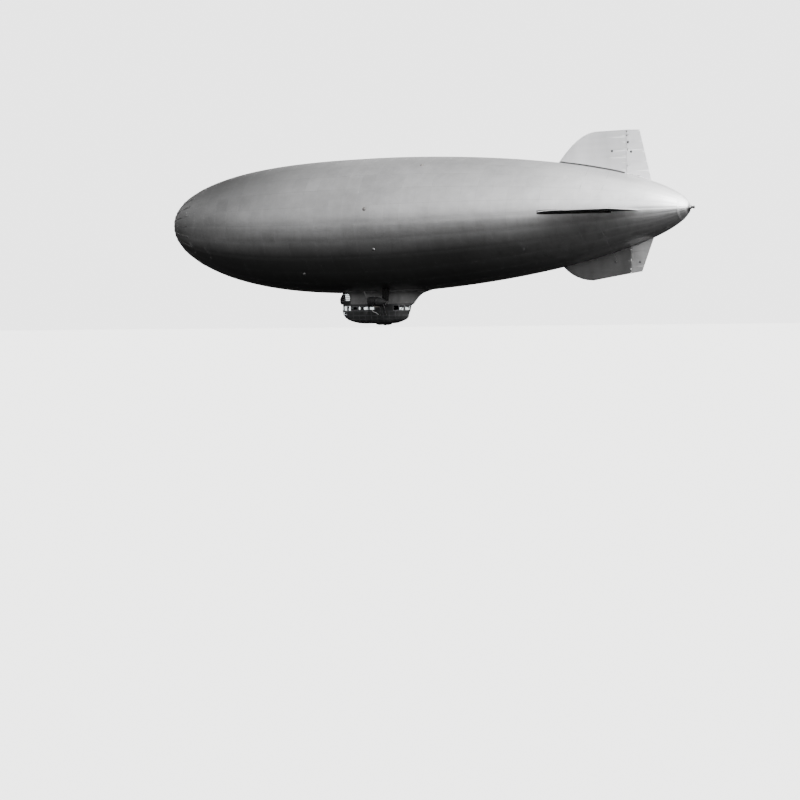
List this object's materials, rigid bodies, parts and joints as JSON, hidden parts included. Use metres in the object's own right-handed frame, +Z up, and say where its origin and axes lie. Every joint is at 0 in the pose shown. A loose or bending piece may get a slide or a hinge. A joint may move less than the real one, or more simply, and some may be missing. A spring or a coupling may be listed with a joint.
{
  "type": "half-scale patrol blimp",
  "caption": "Half-scale non-rigid airship: sagging gas bag, cruciform tail with hinged rudders and elevators, closed car with glazed bow, outrigger engines, castering landing wheel.",
  "frame": {"origin": "half way along the straight line from the nose tip to the tail tip, on the centre plane, where the air holds the ship up", "axes": "+X towards the tail, +Y to starboard, +Z up"},
  "size_m": [38.801, 9.5288, 11.88],
  "materials": {
    "silver_dope": "aluminium-doped cotton, low sheen",
    "silver_paint": "aluminium paint",
    "fin_fabric": "aluminium-doped cotton over ribs",
    "car_paint": "dark grey paint, low sheen",
    "fairing_fabric": "grey doped cotton",
    "deck": "dark matte paint",
    "seat_paint": "dark paint over a metal bucket",
    "strut_paint": "aluminium paint",
    "engine_iron": "dark engine paint",
    "blade_paint": "matte black paint",
    "steel": "worn steel",
    "tyre": "smooth black rubber",
    "window_glass": "clear sheet"
  },
  "bodies": {
    "root": {"envelope": "silver_dope", "nose_cone": "silver_paint", "mooring_spindle": "steel", "tail_cone": "silver_paint", "tail_fitting": "steel", "fin_upper": "fin_fabric", "fin_lower": "fin_fabric", "fin_port": "fin_fabric", "fin_starboard": "fin_fabric", "car_tub": "car_paint", "car_cabin_front": "car_paint", "car_cabin_port": "car_paint", "car_cabin_starboard": "car_paint", "car_roof": "car_paint", "car_deck": "deck", "car_bulkhead": "car_paint", "pilot_seat_port": "seat_paint", "pilot_seat_starboard": "seat_paint", "car_fairing": "fairing_fabric", "bow_turret": "car_paint", "cabin_glass": "window_glass", "chin_glass": "window_glass", "turret_glass": "window_glass", "door_hinge": "steel", "outrigger_port": "strut_paint", "outrigger_starboard": "strut_paint", "nacelle_port": "silver_paint", "nacelle_starboard": "silver_paint", "cowl_port": "silver_paint", "cowl_starboard": "silver_paint", "engine_port": "engine_iron", "engine_starboard": "engine_iron", "air_scoop_port": "fairing_fabric", "air_scoop_starboard": "fairing_fabric", "wheel_fairing": "car_paint", "gear_leg": "steel"},
    "rudder_upper": {"rudder_upper": "fin_fabric"},
    "rudder_lower": {"rudder_lower": "fin_fabric"},
    "elevator_port": {"elevator_port": "fin_fabric"},
    "elevator_starboard": {"elevator_starboard": "fin_fabric"},
    "door": {"door_starboard": "car_paint", "door_glass": "window_glass"},
    "propeller_port": {"propeller_port": "blade_paint"},
    "propeller_starboard": {"propeller_starboard": "blade_paint"},
    "caster": {"caster_fork": "steel"},
    "wheel": {"wheel_hub": "silver_paint", "tyre": "tyre"}
  },
  "joints": [
    {"name": "rudder_upper_turn", "type": "hinge", "parent": "root", "child": "rudder_upper", "pos_m": [15.01, 0, 3.5], "axis": [0, 0, 1], "range_deg": [-25, 25]},
    {"name": "rudder_lower_turn", "type": "hinge", "parent": "root", "child": "rudder_lower", "pos_m": [15.265, 0, -3.1], "axis": [0, 0, 1], "range_deg": [-25, 25]},
    {"name": "elevator_port_turn", "type": "hinge", "parent": "root", "child": "elevator_port", "pos_m": [15.13, -3.5, -0.14], "axis": [0, 1, 0], "range_deg": [-25, 25]},
    {"name": "elevator_starboard_turn", "type": "hinge", "parent": "root", "child": "elevator_starboard", "pos_m": [15.13, 3.5, -0.14], "axis": [0, 1, 0], "range_deg": [-25, 25]},
    {"name": "door_turn", "type": "hinge", "parent": "root", "child": "door", "pos_m": [-1.475, 0.713, -6], "axis": [0, 0, -1], "range_deg": [0, 100]},
    {"name": "propeller_port_spin", "type": "hinge", "parent": "root", "child": "propeller_port", "pos_m": [-2.7, -1.8, -5.45], "axis": [1, 0, 0], "continuous": true},
    {"name": "propeller_starboard_spin", "type": "hinge", "parent": "root", "child": "propeller_starboard", "pos_m": [-2.7, 1.8, -5.45], "axis": [1, 0, 0], "continuous": true},
    {"name": "caster_swivel", "type": "hinge", "parent": "root", "child": "caster", "pos_m": [-2.66, 0, -6.5], "axis": [0, 0, 1], "continuous": true},
    {"name": "wheel_spin", "type": "hinge", "parent": "caster", "child": "wheel", "pos_m": [-2.56, 0, -6.77], "axis": [0, 1, 0], "continuous": true}
  ],
  "couplings": [
    {"joint": "rudder_lower_turn", "follows": "rudder_upper_turn", "ratio": 1},
    {"joint": "elevator_starboard_turn", "follows": "elevator_port_turn", "ratio": 1}
  ]
}
